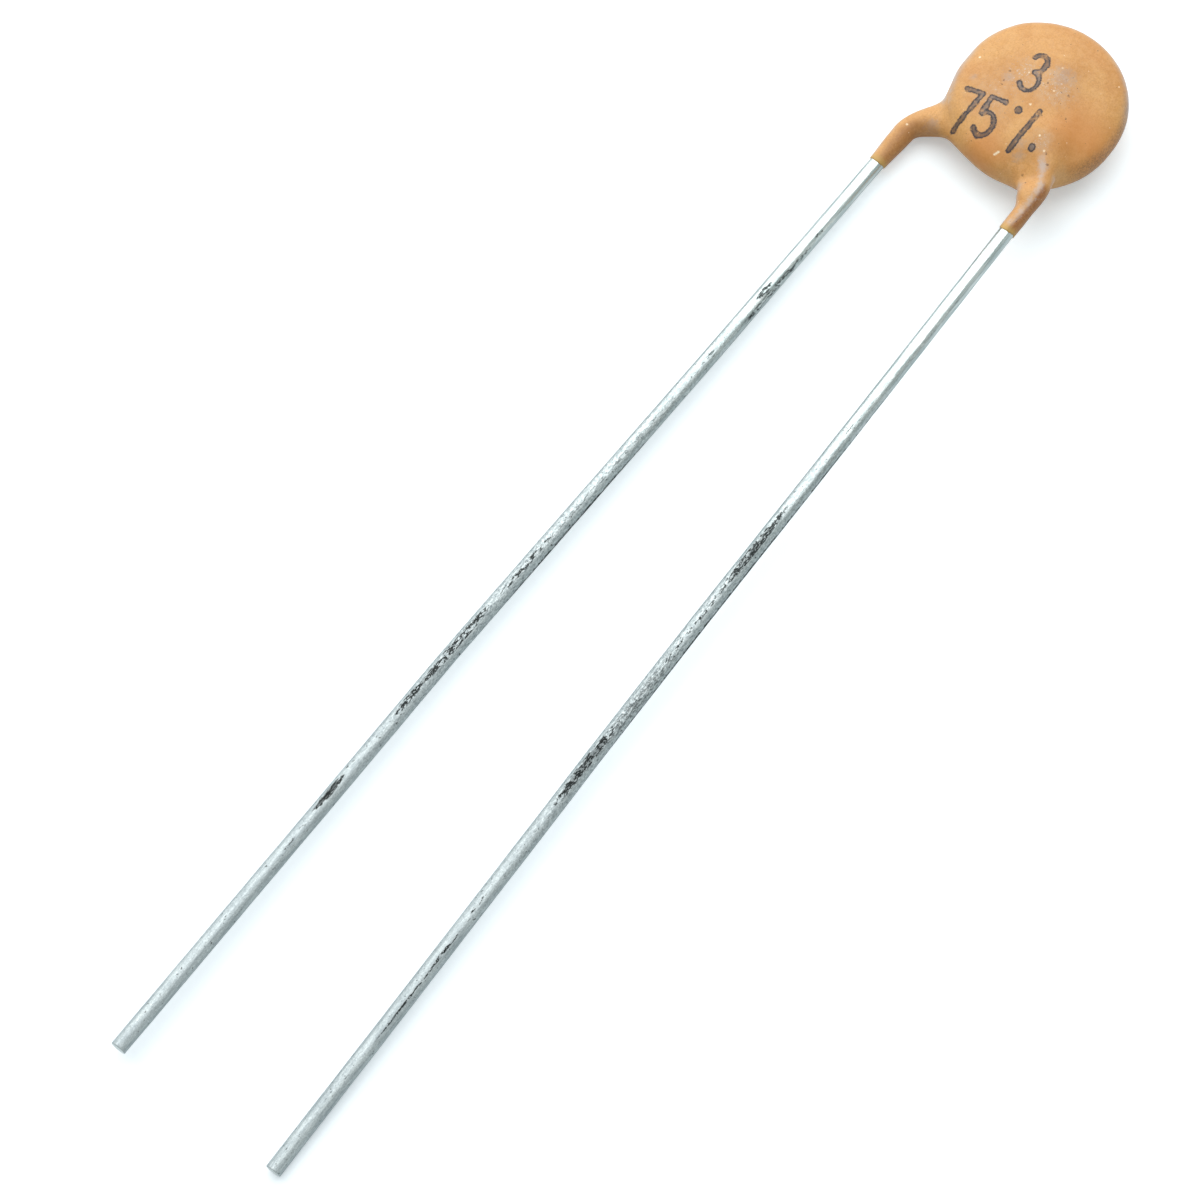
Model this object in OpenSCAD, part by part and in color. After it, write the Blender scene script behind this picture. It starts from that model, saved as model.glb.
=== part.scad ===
// Radial disc capacitor with a dipped coating and two long wire leads, lying on a flat surface.
// Millimetres, Z up. The leads run along X with the disc at the +X end, and Y runs across them.
// The origin is under the middle of the part, on the surface it lies on.

/* [Ceramic disc] */
// Diameter of the ceramic disc
disc_d = 5.3; // [4.6:0.1:9]
// Thickness of the ceramic disc
disc_t = 0.6; // [0.4:0.05:1.4]
// Bare margin between each electrode and the edge of the disc
electrode_margin = 0.3; // [0.2:0.05:0.6]
// Thickness of each silver electrode
electrode_t = 0.03; // [0.02:0.01:0.06]

/* [Solder joints] */
// Diameter of the solder mound on each face
solder_d = 2.2; // [1.6:0.1:2.6]
// Height of the solder mound above the electrode
solder_h = 0.5; // [0.4:0.05:0.6]
// Thickness of solder left between each lead and its electrode
solder_film = 0.04; // [0.02:0.01:0.08]

/* [Leads] */
// Diameter of the lead wire
lead_d = 0.55; // [0.4:0.05:0.7]
// Distance between the lead centres where they leave the coating
lead_pitch = 5.23; // [4.6:0.01:7]
// Distance between the lead centres at the cut ends
tip_pitch = 6.24; // [4:0.01:9]
// Distance that the middle of the two leads lies off the centre of the disc
lead_offset = 0.575; // [0:0.005:0.8]
// Length of each lead along X from the coating to the cut end
lead_length = 39.6; // [10:0.1:60]
// Share of that length from the coating to the slight bend in each lead
bend_share = 0.58; // [0.3:0.01:0.7]
// Distance that the bend moves the rear lead off its straight line
rear_bow = 0.18; // [0.05:0.01:0.6]
// Distance that the bend moves the front lead off its straight line
front_bow = 0.1; // [0.05:0.01:0.6]
// Distance along X from the centre of the disc to the knee in the rear lead
rear_knee = 3.15; // [2.8:0.05:4]
// Distance along X from the centre of the disc to the knee in the front lead
front_knee = 2.85; // [2.8:0.05:4]
// Angle by which the rear lead turns in across the disc
rear_splay = 36; // [25:1:42]
// Angle by which the front lead turns in across the disc
front_splay = 30; // [25:1:42]
// Length of each lead past the middle of its solder joint
lead_over = 0.8; // [0.4:0.1:1]
// Centre-line radius of the knees
knee_r = 0.9; // [0.6:0.1:1.2]
// Centre-line radius of the slight bends
bow_r = 12; // [6:1:20]
// Height of the rear lead's cut end above the surface, to its centre
rear_tip_z = 0.8; // [0.4:0.05:2]

/* [Coating] */
// Thickness of the coating round the edge of the disc
rim_coat = 0.35; // [0.3:0.05:0.8]
// Thickness of the coating over the middle of each face of the disc
face_coat = 0.6; // [0.45:0.05:0.7]
// Radius of the rounding at the edge of the coated disc
rim_round = 0.4; // [0.35:0.05:0.5]
// Thickness of the coating over each lead where it crosses the disc
lead_coat = 0.25; // [0.15:0.05:0.4]
// Distance that the coating sags past the edge of the disc towards the leads
sag = 0.28; // [0:0.02:0.4]
// Distance that the coating builds up past the edge of the disc away from the leads
lift = 0.07; // [0:0.01:0.3]
// Thickness of the coating on the rear lead at its knee
rear_knee_coat = 0.13; // [0.05:0.01:0.25]
// Thickness of the coating on the front lead at its knee
front_knee_coat = 0.06; // [0.05:0.01:0.25]
// Radius of the web of coating in the corner between the front lead and the disc
web_r = 0.24; // [0.1:0.02:0.3]
// Radius of the web of coating in the corner between the rear lead and the disc
rear_web_r = 0.18; // [0.1:0.02:0.3]
// Thickness of the coating on each lead where the coating ends
end_coat = 0.03; // [0.03:0.01:0.08]
// Distance from the centre of the disc to the ends of the coating
coat_reach = 5; // [4.6:0.02:8]
// Width over which the coating flows together where it runs on to the rear lead
rear_flow = 0.8; // [0.3:0.1:1.2]
// Width over which the coating flows together where it runs on to the front lead
front_flow = 0.6; // [0.3:0.1:1.2]
// Width over which the coating flows together where a lead lies on the disc
face_flow = 2.6; // [1.8:0.1:3]
// Distance from the centre of the disc to which the coating swells up over a lead
swell_reach = 1.7; // [1.2:0.1:2.2]
// Distance from the centre of the disc at which the sleeve of coating on the rear lead begins
rear_sleeve_from = 2.75; // [2.6:0.05:2.8]
// Distance between the points that the coating's skin is drawn through
skin_step = 0.2; // [0.16:0.01:0.26]

/* [Hidden] */
$fn = 48;

lead_r = lead_d / 2;

// Heights, stacked up from the surface that the part lies on
rear_z = lead_coat + lead_r;
rear_face_z = rear_z + lead_r + solder_film;
disc_z = rear_face_z + electrode_t + disc_t / 2;
front_face_z = disc_z + disc_t / 2 + electrode_t;
front_z = front_face_z + solder_film + lead_r;

// The coated disc: its radius, the radius at which its edge begins to round over, half its thickness
// in the middle, and how much of that is lost where the rounding begins
coat_r = disc_d / 2 + rim_coat;
core_r = coat_r - rim_round;
coat_half = disc_t / 2 + electrode_t + face_coat;
face_fall = (coat_half - rim_round) * pow(core_r / coat_r, 4);

// Length by which the skin is drawn past the end of the coating before it is cut square
skin_past = 0.4;

// Small overlap of the straight and bent stretches of wire, with a bend this much thicker
lap = 0.05;
swell = 0.006;

// The route of each lead from its end on the disc to its cut tip
tip_x = coat_reach + lead_length;
bend_x = coat_reach + lead_length * bend_share;
rear_y = lead_offset + lead_pitch / 2;
front_y = lead_offset - lead_pitch / 2;
rear_tip_y = lead_offset + tip_pitch / 2;
front_tip_y = lead_offset - tip_pitch / 2;
front_tip_z = lead_r;
rear_dir = [cos(rear_splay), -sin(rear_splay), 0];
front_dir = [cos(front_splay), sin(front_splay), 0];
rear_knee_at = [-rear_knee, rear_y, rear_z];
front_knee_at = [-front_knee, front_y, front_z];
rear_joint = foot(rear_knee_at, rear_dir);
front_joint = foot(front_knee_at, front_dir);
rear_tip = [-tip_x, rear_tip_y, rear_tip_z];
front_tip = [-tip_x, front_tip_y, front_tip_z];
rear_route = [rear_joint + rear_dir * lead_over, rear_knee_at,
    bow(rear_knee_at, rear_tip, rear_bow), rear_tip];
front_route = [front_joint + front_dir * lead_over, front_knee_at,
    bow(front_knee_at, front_tip, front_bow), front_tip];

// The radius of the swelling over a lead that, with what the flow adds, covers it by lead_coat
bare_step = disc_z - body_half(norm([rear_joint.x, rear_joint.y]));
over_r = lead_r + lead_coat - face_flow - bare_step + 2 * sqrt(face_flow * bare_step);

// Where the swelling on a lead ends, and the line of its sleeve, which on the rear lead begins near the rim
rear_edge = crossing(rear_joint, rear_dir, swell_reach);
front_edge = crossing(front_joint, front_dir, swell_reach);
rear_leg = leg(crossing(rear_joint, rear_dir, rear_sleeve_from), rear_route);
front_leg = leg(front_edge, front_route);

// The ends of the webs between each lead and the disc
web_disc = [1.6 * web_r - coat_r, front_y * 0.58, disc_z];
web_lead = front_knee_at + [-lead_d, lead_r, -lead_r / 4];
rear_web_disc = [1.7 * rear_web_r - coat_r, rear_y * 0.36, disc_z];
rear_web_lead = rear_knee_at + [lead_d, -lead_d, lead_r / 4];

// The middle of the part, which is moved over the origin
middle = [(coat_r + lift - tip_x) / 2,
    (max(rear_tip_y, rear_y) + lead_r + min(front_tip_y - lead_r, -coat_r)) / 2, 0];

function unit(v) = v / norm(v);
function mean(list) = [for (v = list) 1] * list / len(list);
function soft_min(a, b, flow) = min(a, b) - pow(max(flow - abs(a - b), 0), 2) / (4 * flow);

// The point nearest the axis of the disc on a level line through p
function foot(p, dir) = p - dir * (p.x * dir.x + p.y * dir.y);

// The point where a lead on its way to the joint crosses a circle round the axis of the disc
function crossing(joint, dir, r) = joint - dir * sqrt(pow(r, 2) - pow(joint.x, 2) - pow(joint.y, 2));

// The line of a sleeve of coating: start, knee, end of the coating and a little past it
function leg(start, route) = let (
    knee = route[1],
    far = route[2],
    stop = knee + (far - knee) * ((coat_reach + knee.x) / (knee.x - far.x)))
    [start, knee, stop, stop + unit(far - knee) * skin_past];

// The point at bend_x on the way from a to b, moved sideways
function bow(a, b, side) = let (t = (bend_x + a.x) / (a.x - b.x)) a + (b - a) * t + [0, side, 0];

// Half the thickness of the coated disc at a distance from its axis, nearly flat until the edge comes close
function body_half(r) = coat_half - face_fall * pow(min(r, coat_r) / core_r, 4);

// Distance to the round body of the coating
function body_gap(p) = let (r = norm([p.x - max(-sag, min(lift, p.x)), p.y]))
    norm([max(r - core_r, 0), p.z - disc_z]) - body_half(r);

// Distance to a round bar from a to b whose radius goes from ra to rb
function bar_gap(p, a, b, ra, rb) = let (
    t = max(0, min(1, (p - a) * (b - a) / ((b - a) * (b - a)))))
    norm(p - a - (b - a) * t) - ra - (rb - ra) * t;

// Distance to the sleeve of coating on a lead, which thins from the knee to the end of the coating
function sleeve_gap(p, leg, knee_coat) = min(
    bar_gap(p, leg[0], leg[1], lead_r + knee_coat, lead_r + knee_coat),
    bar_gap(p, leg[1], leg[2], lead_r + knee_coat, lead_r + end_coat),
    bar_gap(p, leg[2], leg[3], lead_r + end_coat, lead_r + end_coat));

// Distance to the skin of the coating: body, swellings over the leads, webs and sleeves flow together
function skin_gap(p) = let (
    body = body_gap(p),
    rear = soft_min(body, bar_gap(p, rear_route[0], rear_edge, over_r, over_r), face_flow),
    both = soft_min(rear, bar_gap(p, front_route[0], front_edge, over_r, over_r), face_flow),
    webbed = soft_min(both, bar_gap(p, web_disc, web_lead, web_r, web_r), front_flow),
    webs = soft_min(webbed, bar_gap(p, rear_web_disc, rear_web_lead, rear_web_r, rear_web_r), front_flow),
    rear_done = soft_min(webs, sleeve_gap(p, rear_leg, rear_knee_coat), rear_flow))
    soft_min(rear_done, sleeve_gap(p, front_leg, front_knee_coat), front_flow);

// A point moved on to the skin along the steepest way
function on_skin(p, again) = let (
    e = 0.01,
    g = skin_gap(p),
    slope = [skin_gap(p + [e, 0, 0]) - g, skin_gap(p + [0, e, 0]) - g, skin_gap(p + [0, 0, e]) - g] / e,
    q = p - slope * g / (slope * slope))
    again > 0 ? on_skin(q, again - 1) : q;

// The place of a count of steps from the low corner of a grid
function spot(low, step, count) = low + [for (a = [0:2]) step[a] * count[a]];

// The skin of the coating, drawn through the cells of a grid that it passes through.
// The part's lowest and highest lines run through the middle of cells, clear of the grid's levels.
module skin() {
    step = [skin_step, skin_step, 2 * disc_z / round(2 * disc_z / skin_step)];
    room = 3.5 * step;
    low = [-coat_reach - skin_past - lead_r, min(-coat_r, front_y - lead_r - front_knee_coat), 0] - room;
    high = [coat_r + lift, max(coat_r, rear_y + lead_r + rear_knee_coat), 2 * disc_z] + room;
    n = [for (a = [0:2]) ceil((high[a] - low[a]) / step[a])];
    gap = [for (i = [0:n.x]) [for (j = [0:n.y]) [for (k = [0:n.z]) skin_gap(spot(low, step, [i, j, k]))]]];
    corners = [for (c = [0:7]) [floor(c / 4), floor(c / 2) % 2, c % 2]];
    edges = [for (a = [0:7]) for (bit = [1, 2, 4]) if (floor(a / bit) % 2 == 0) [a, a + bit]];
    cells = [for (i = [0:n.x - 1]) for (j = [0:n.y - 1]) for (k = [0:n.z - 1])
        [for (c = corners) gap[i + c.x][j + c.y][k + c.z]]];
    cut = [for (c = cells) min(c) < 0 && max(c) >= 0 ? 1 : 0];
    number = [for (m = 0, sum = 0; m < len(cut); sum = sum + cut[m], m = m + 1) sum];
    stride = [n.y * n.z, n.z, 1];
    hit = [for (m = [0:len(cut) - 1]) if (cut[m] == 1)
        let (
            at = [floor(m / stride.x), floor(m / stride.y) % n.y, m % n.z],
            v = cells[m],
            hits = [for (e = edges) if ((v[e[0]] < 0) != (v[e[1]] < 0))
                corners[e[0]] + (corners[e[1]] - corners[e[0]]) * v[e[0]] / (v[e[0]] - v[e[1]])])
        on_skin(spot(low, step, at + mean(hits)), 0)];
    points = [for (m = [0:len(cut) - 1]) if (cut[m] == 1)
        let (around = [for (d = stride) for (c = [m - d, m + d]) if (cut[c] == 1) hit[number[c]]])
        on_skin((hit[number[m]] + mean(around)) / 2, 1)];
    faces = [for (i = [1:n.x - 1]) for (j = [1:n.y - 1]) for (k = [1:n.z - 1]) for (a = [0:2])
        let (
            here = gap[i][j][k] < 0,
            next = gap[i + (a == 0 ? 1 : 0)][j + (a == 1 ? 1 : 0)][k + (a == 2 ? 1 : 0)] < 0)
        if (here != next)
        let (
            m = i * stride.x + j * stride.y + k,
            b = stride[(a + 1) % 3],
            c = stride[(a + 2) % 3],
            ring = [number[m - b - c], number[m - c], number[m], number[m - b]])
        each (here ? [[ring[2], ring[1], ring[0]], [ring[3], ring[2], ring[0]]]
            : [[ring[0], ring[1], ring[2]], [ring[0], ring[2], ring[3]]])];
    polyhedron(points, faces, convexity = 4);
}

// Sets a child drawn along Z at the origin on to the point p, with Z along w and X along u
module aim(p, u, w) {
    v = cross(w, u);
    multmatrix([[u.x, v.x, w.x, p.x], [u.y, v.y, w.y, p.y], [u.z, v.z, w.z, p.z], [0, 0, 0, 1]]) children();
}

// Wire along a route of four points, rounded at the knee and at the slight bend
module wire(route) {
    ahead = [for (s = [0:2]) unit(route[s + 1] - route[s])];
    turn = [for (s = [0:1]) acos(ahead[s] * ahead[s + 1])];
    radius = [knee_r, bow_r];
    back = [0, radius[0] * tan(turn[0] / 2), radius[1] * tan(turn[1] / 2), 0];
    trim = [0, back[1] - lap, back[2] - lap, 0];
    for (s = [0:2]) {
        start = route[s] + ahead[s] * trim[s];
        aim(start, unit(cross(ahead[s], [0, 0, 1])), ahead[s])
            cylinder(r = lead_r, h = norm(route[s + 1] - route[s]) - trim[s] - trim[s + 1]);
    }
    for (s = [0:1]) {
        pole = unit(cross(ahead[s], ahead[s + 1]));
        inward = cross(pole, ahead[s]);
        centre = route[s + 1] - ahead[s] * back[s + 1] + inward * radius[s];
        aim(centre, -inward, pole)
            rotate_extrude(angle = turn[s])
                translate([radius[s], 0])
                    circle(r = lead_r + swell);
    }
}

// Round mound of solder on a face of the disc, lying along Z = 0
module mound() {
    ball = (pow(solder_d / 2, 2) + pow(solder_h, 2)) / (2 * solder_h);
    intersection() {
        translate([0, 0, solder_h - ball])
            sphere(r = ball);
        cylinder(d = solder_d + 1, h = solder_h + 1);
    }
}

module rear_mound() {
    translate([rear_joint.x, rear_joint.y, rear_face_z])
        mirror([0, 0, 1])
            mound();
}

module front_mound() {
    translate([front_joint.x, front_joint.y, front_face_z])
        mound();
}

module wafer() {
    translate([0, 0, disc_z - disc_t / 2])
        cylinder(d = disc_d, h = disc_t);
}

module film(z) {
    translate([0, 0, z])
        cylinder(r = disc_d / 2 - electrode_margin, h = electrode_t);
}

module coating() {
    color("#c98a45")
        translate(-middle)
            difference() {
                skin();
                translate([-coat_reach - 2, -20, -5])
                    cube([2, 40, 15]);
                wafer();
                film(rear_face_z);
                film(front_face_z - electrode_t);
                rear_mound();
                front_mound();
                wire(rear_route);
                wire(front_route);
            }
}

module ceramic_disc() {
    color("#e6dcc8")
        translate(-middle)
            wafer();
}

module front_electrode() {
    color("#d8d8d4")
        translate(-middle)
            film(front_face_z - electrode_t);
}

module rear_electrode() {
    color("#d8d8d4")
        translate(-middle)
            film(rear_face_z);
}

module front_solder() {
    color("#b9bcc0")
        translate(-middle)
            difference() {
                front_mound();
                wire(front_route);
            }
}

module rear_solder() {
    color("#b9bcc0")
        translate(-middle)
            difference() {
                rear_mound();
                wire(rear_route);
            }
}

module front_lead() {
    color("#c9ccd0")
        translate(-middle)
            wire(front_route);
}

module rear_lead() {
    color("#c9ccd0")
        translate(-middle)
            wire(rear_route);
}

coating();
ceramic_disc();
front_electrode();
rear_electrode();
front_solder();
rear_solder();
front_lead();
rear_lead();
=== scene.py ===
import bpy
import numpy as np
from mathutils import Matrix, Vector


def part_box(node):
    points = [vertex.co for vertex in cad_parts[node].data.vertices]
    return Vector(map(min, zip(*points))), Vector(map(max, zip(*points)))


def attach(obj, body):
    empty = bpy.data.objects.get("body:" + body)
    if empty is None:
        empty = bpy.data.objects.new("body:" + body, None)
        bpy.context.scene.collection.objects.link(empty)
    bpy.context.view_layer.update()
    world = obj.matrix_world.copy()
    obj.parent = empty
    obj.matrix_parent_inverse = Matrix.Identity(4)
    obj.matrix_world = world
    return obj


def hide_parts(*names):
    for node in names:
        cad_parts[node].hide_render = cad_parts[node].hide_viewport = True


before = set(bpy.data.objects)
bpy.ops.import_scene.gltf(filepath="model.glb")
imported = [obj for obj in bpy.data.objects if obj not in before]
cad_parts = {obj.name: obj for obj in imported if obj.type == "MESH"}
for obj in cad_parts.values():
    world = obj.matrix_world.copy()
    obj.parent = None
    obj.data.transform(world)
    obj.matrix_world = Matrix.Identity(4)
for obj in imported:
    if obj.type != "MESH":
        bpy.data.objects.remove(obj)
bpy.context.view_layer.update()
mm = 0.001
farOff = 9.0  # in mm, says that nothing is near
print("frame loaded,", len(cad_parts), "nodes")


# Places taken from the frame: everything below is in mm, measured from the axis of the ceramic disc
discLow, discHigh = [np.array(corner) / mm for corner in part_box("ceramic_disc")]
discCentre = (discLow + discHigh) / 2
axisPlace = np.array([discCentre[0], discCentre[1], 0.0])
tipX = np.array(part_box("rear_lead")[0])[0] / mm - axisPlace[0]
rimCoat = 0.35  # coating past the edge of the ceramic

part = {
    "leadRadius": 0.275,
    "discZ": discCentre[2],
    "coatReach": 5.0,  # from the axis to the end of the coating on the leads
    "coatRadius": (discHigh[0] - discLow[0]) / 2 + rimCoat,
    "rimRound": 0.4,
    "bendShare": 0.58,  # how far out on the bare lead its slight bend is
    "leadOver": 0.8,  # lead past its joint, over the disc
}


# A vector divided by its own length
def unit(v):
    return v / np.linalg.norm(v, axis=-1, keepdims=True)


# From 0 at low to 1 at high, as three times t squared less twice t cubed
def smoothStep(x, low, high):
    t = np.clip((x - low) / (high - low), 0, 1)
    return t * t * (3 - 2 * t)


# Sum of slow sine waves in slanted directions, a smooth unevenness between about -1 and 1
ripple = {"count": 6, "pitchShares": (0.7, 1.4), "divisor": 3}


def waves(p, pitch, seed):
    turn = np.random.default_rng(seed)
    total = np.zeros(len(p))
    for i in range(ripple["count"]):
        way = unit(turn.normal(size=3)) * (2 * np.pi / pitch) * turn.uniform(*ripple["pitchShares"])
        total += np.sin(p @ way + turn.uniform(0, 2 * np.pi))
    return total / ripple["divisor"]


# Points in mm and rows of corners, made a smooth-shaded mesh in the frame's place
def addMesh(name, points, faces):
    mesh = bpy.data.meshes.new(name)
    corners = faces.shape[1]
    mesh.vertices.add(len(points))
    mesh.vertices.foreach_set("co", ((points + axisPlace) * mm).astype(np.float32).ravel())
    mesh.loops.add(faces.size)
    mesh.loops.foreach_set("vertex_index", faces.astype(np.int32).ravel())
    mesh.polygons.add(len(faces))
    mesh.polygons.foreach_set("loop_start", np.arange(0, faces.size, corners, dtype=np.int32))
    mesh.polygons.foreach_set("use_smooth", np.full(len(faces), True))
    mesh.update(calc_edges=True)
    mesh.validate()
    piece = bpy.data.objects.new(name, mesh)
    bpy.context.scene.collection.objects.link(piece)
    return piece


# One number for each point of a mesh, for its material to read
def addValue(piece, name, values):
    spot = piece.data.attributes.new(name, "FLOAT", "POINT")
    spot.data.foreach_set("value", values.astype(np.float32))


# Node helpers: a value that is a socket is linked, any other is set on the socket itself
def addNode(tree, kind, inputs=None, **settings):
    node = tree.nodes.new("ShaderNode" + kind)
    for key, value in settings.items():
        setattr(node, key, value)
    for key, value in (inputs or {}).items():
        if isinstance(value, bpy.types.NodeSocket):
            tree.links.new(value, node.inputs[key])
        else:
            node.inputs[key].default_value = value
    return node


def newMaterial(name):
    mat = bpy.data.materials.new(name)
    mat.use_nodes = True
    tree = mat.node_tree
    shader = tree.nodes["Principled BSDF"]
    place = addNode(tree, "TexCoord").outputs["Object"]
    return mat, tree, shader, place


def addMath(tree, way, a, b):
    return addNode(tree, "Math", {0: a, 1: b}, operation=way).outputs[0]


def times(tree, a, b):
    return addMath(tree, "MULTIPLY", a, b)


def addMix(tree, share, a, b):
    return addNode(tree, "Mix", {0: share, 6: a, 7: b}, data_type="RGBA").outputs[2]


def addRange(tree, value, low, high, toLow=0.0, toHigh=1.0):
    inputs = {0: value, 1: low, 2: high, 3: toLow, 4: toHigh}
    return addNode(tree, "MapRange", inputs, interpolation_type="SMOOTHSTEP").outputs[0]


# Noise of a size in mm, drawn out along X where a stretch below 1 is given
def addNoise(tree, place, size, detail, rough, stretch=1.0):
    if stretch != 1.0:
        place = addNode(tree, "Mapping", {"Vector": place, "Scale": (stretch, 1, 1)}).outputs[0]
    inputs = {"Vector": place, "Scale": 1 / (size * mm), "Detail": detail, "Roughness": rough}
    return addNode(tree, "TexNoise", inputs).outputs[0]


# Noise between two levels, with what it becomes at each
def addGrain(tree, place, size, detail, rough, low, high, toLow=0.0, toHigh=1.0, stretch=1.0):
    return addRange(tree, addNoise(tree, place, size, detail, rough, stretch), low, high, toLow, toHigh)


# Noise less its middle, times a swing, to make an edge stray
def addStray(tree, place, size, detail, rough, swing):
    middle = 0.5
    return times(tree, addMath(tree, "SUBTRACT", addNoise(tree, place, size, detail, rough), middle), swing)


def addBump(tree, height, strength, depth, under=None):
    inputs = {"Height": height, "Strength": strength, "Distance": depth * mm}
    if under:
        inputs["Normal"] = under
    return addNode(tree, "Bump", inputs).outputs[0]


def readValue(tree, name):
    return addNode(tree, "Attribute", attribute_name=name).outputs["Fac"]


# Screen colour from 0 to 255 made linear, by the usual screen curve
def colour(red, green, blue):
    c = np.array([red, green, blue]) / 255
    c = np.where(c <= 0.04045, c / 12.92, ((c + 0.055) / 1.055) ** 2.4)
    return (*[float(x) for x in c], 1.0)


# A layer of colour over the base, by its share times the layer's strength
def lay(tree, base, share, layer):
    *tint, strength = layer
    return addMix(tree, share if strength == 1 else times(tree, share, strength), base, colour(*tint))


# The two leads: end on the disc, knee, slight bend and cut tip, as in the frame
leads = {
    "rear": {"kneeX": -3.15, "y": 3.19, "z": 0.525, "splay": -36.0, "tipY": 3.695, "tipZ": 0.8, "bow": 0.18},
    "front": {"kneeX": -2.85, "y": -2.04, "z": 1.815, "splay": 30.0, "tipY": -2.545, "tipZ": 0.275, "bow": 0.1},
}


# From the knee a lead runs in at its splay angle, and its joint is the place on that line nearest the axis;
# outwards it runs straight to the tip, pushed sideways by its bow at the bend
def leadRoute(lead):
    knee = np.array([lead["kneeX"], lead["y"], lead["z"]])
    tip = np.array([tipX, lead["tipY"], lead["tipZ"]])
    splay = np.radians(lead["splay"])
    way = np.array([np.cos(splay), np.sin(splay), 0.0])
    joint = knee - way * (knee @ way)
    bendX = part["bendShare"] * (tipX + part["coatReach"]) - part["coatReach"]
    share = (knee[0] - bendX) / (knee[0] - tip[0])
    bend = knee + (tip - knee) * share + np.array([0, lead["bow"], 0])
    return np.array([joint + way * part["leadOver"], knee, bend, tip]), way, joint


for lead in leads.values():
    lead["route"], lead["way"], lead["joint"] = leadRoute(lead)
print("lead routes worked out")


# The coating: sizes of the frame's skin, then what the finish adds, then the grid that finds the skin
coat = {
    "half": 0.93, "sag": 0.28, "lift": 0.07, "facePower": 4, "leadCoat": 0.25,
    "swellReach": 1.7, "rearSleeveFrom": 2.75, "frontSleeveFrom": 1.7, "pastEnd": 0.4,
    "faceFlow": 2.6, "rearFlow": 0.8, "frontFlow": 0.6, "webFlow": 0.6,
    "rearKneeCoat": 0.13, "frontKneeCoat": 0.06, "endCoat": 0.03,
    "rearKneeBend": 1.1, "frontKneeBend": 1.2, "kneeSteps": 10,
    "unevenness": 0.012, "unevenPitch": 1.3, "unevenSeed": 5, "unevenFrom": -3.5,
    "raggedEnd": 0.025, "raggedPitch": 0.5, "raggedSeed": 8, "endTongue": 0.1, "floorGap": 0.001,
    "step": 0.045, "rimRoom": 0.15, "endRoom": 0.2, "rearRoom": 0.7, "faceRoom": 0.12,
    "slopeStep": 0.004, "leastSlope": 0.2, "evenings": 2, "settlings": 2, "heldSteps": 3,
}
# Webs in the corners between disc and leads: how far in from the rim in web radii, share of the lead's Y on the
# disc, and place on the lead from its knee in lead radii
webs = {
    "front": {"radius": 0.24, "inset": 1.6, "across": 0.58, "fromKnee": (-2, 1, -0.25)},
    "rear": {"radius": 0.18, "inset": 1.7, "across": 0.36, "fromKnee": (2, -2, 0.25)},
}
coreRadius = part["coatRadius"] - part["rimRound"]
faceFall = (coat["half"] - part["rimRound"]) * (coreRadius / part["coatRadius"]) ** coat["facePower"]


# The smaller of two distances, less a quarter of the squared overlap within the flow, so that they run together
def softMin(a, b, flow):
    return np.minimum(a, b) - np.maximum(flow - np.abs(a - b), 0) ** 2 / (4 * flow)


# Half thickness of the body, which falls from the middle by the fourth power of the radius
def bodyHalf(r):
    return coat["half"] - faceFall * (np.minimum(r, part["coatRadius"]) / coreRadius) ** coat["facePower"]


# Distance to the body: a flat core, longer than wide by sag and lift, with the half thickness round it
def bodyGap(p):
    r = np.hypot(p[:, 0] - np.clip(p[:, 0], -coat["sag"], coat["lift"]), p[:, 1])
    return np.hypot(np.maximum(r - coreRadius, 0), p[:, 2] - part["discZ"]) - bodyHalf(r)


# Distance to the line from a to b, less a radius that goes evenly from ra to rb
def barGap(p, a, b, ra, rb):
    t = np.clip((p - a) @ (b - a) / ((b - a) @ (b - a)), 0, 1)
    return np.linalg.norm(p - a - t[:, None] * (b - a), axis=1) - ra - (rb - ra) * t


# The least distance to the bars of a sleeve: the knee's radius up to the last bend, the end's radius after it
def sleeveGap(p, line, kneeRadius, endRadius):
    radii = [kneeRadius] * (len(line) - 2) + [endRadius] * 2
    gap = barGap(p, line[0], line[1], kneeRadius, kneeRadius)
    for i in range(1, len(line) - 1):
        gap = np.minimum(gap, barGap(p, line[i], line[i + 1], radii[i], radii[i + 1]))
    return gap


# Points on an arc that rounds off a corner between two straight runs
def roundedCorner(before, corner, after, radius, count):
    back, ahead = unit(before - corner), unit(after - corner)
    half = np.arccos(np.clip(back @ ahead, -1, 1)) / 2
    centre = corner + unit(back + ahead) * radius / np.sin(half)
    a, b = [corner + way * radius / np.tan(half) - centre for way in (back, ahead)]
    sweep = np.pi - 2 * half
    turn = np.linspace(0, 1, count)[:, None]
    return centre + (np.sin((1 - turn) * sweep) * a + np.sin(turn * sweep) * b) / np.sin(sweep)


# Where a lead on its way to the joint crosses a circle round the axis of the disc
def crossing(lead, radius):
    return lead["joint"] - lead["way"] * np.sqrt(radius ** 2 - lead["joint"][0] ** 2 - lead["joint"][1] ** 2)


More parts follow.
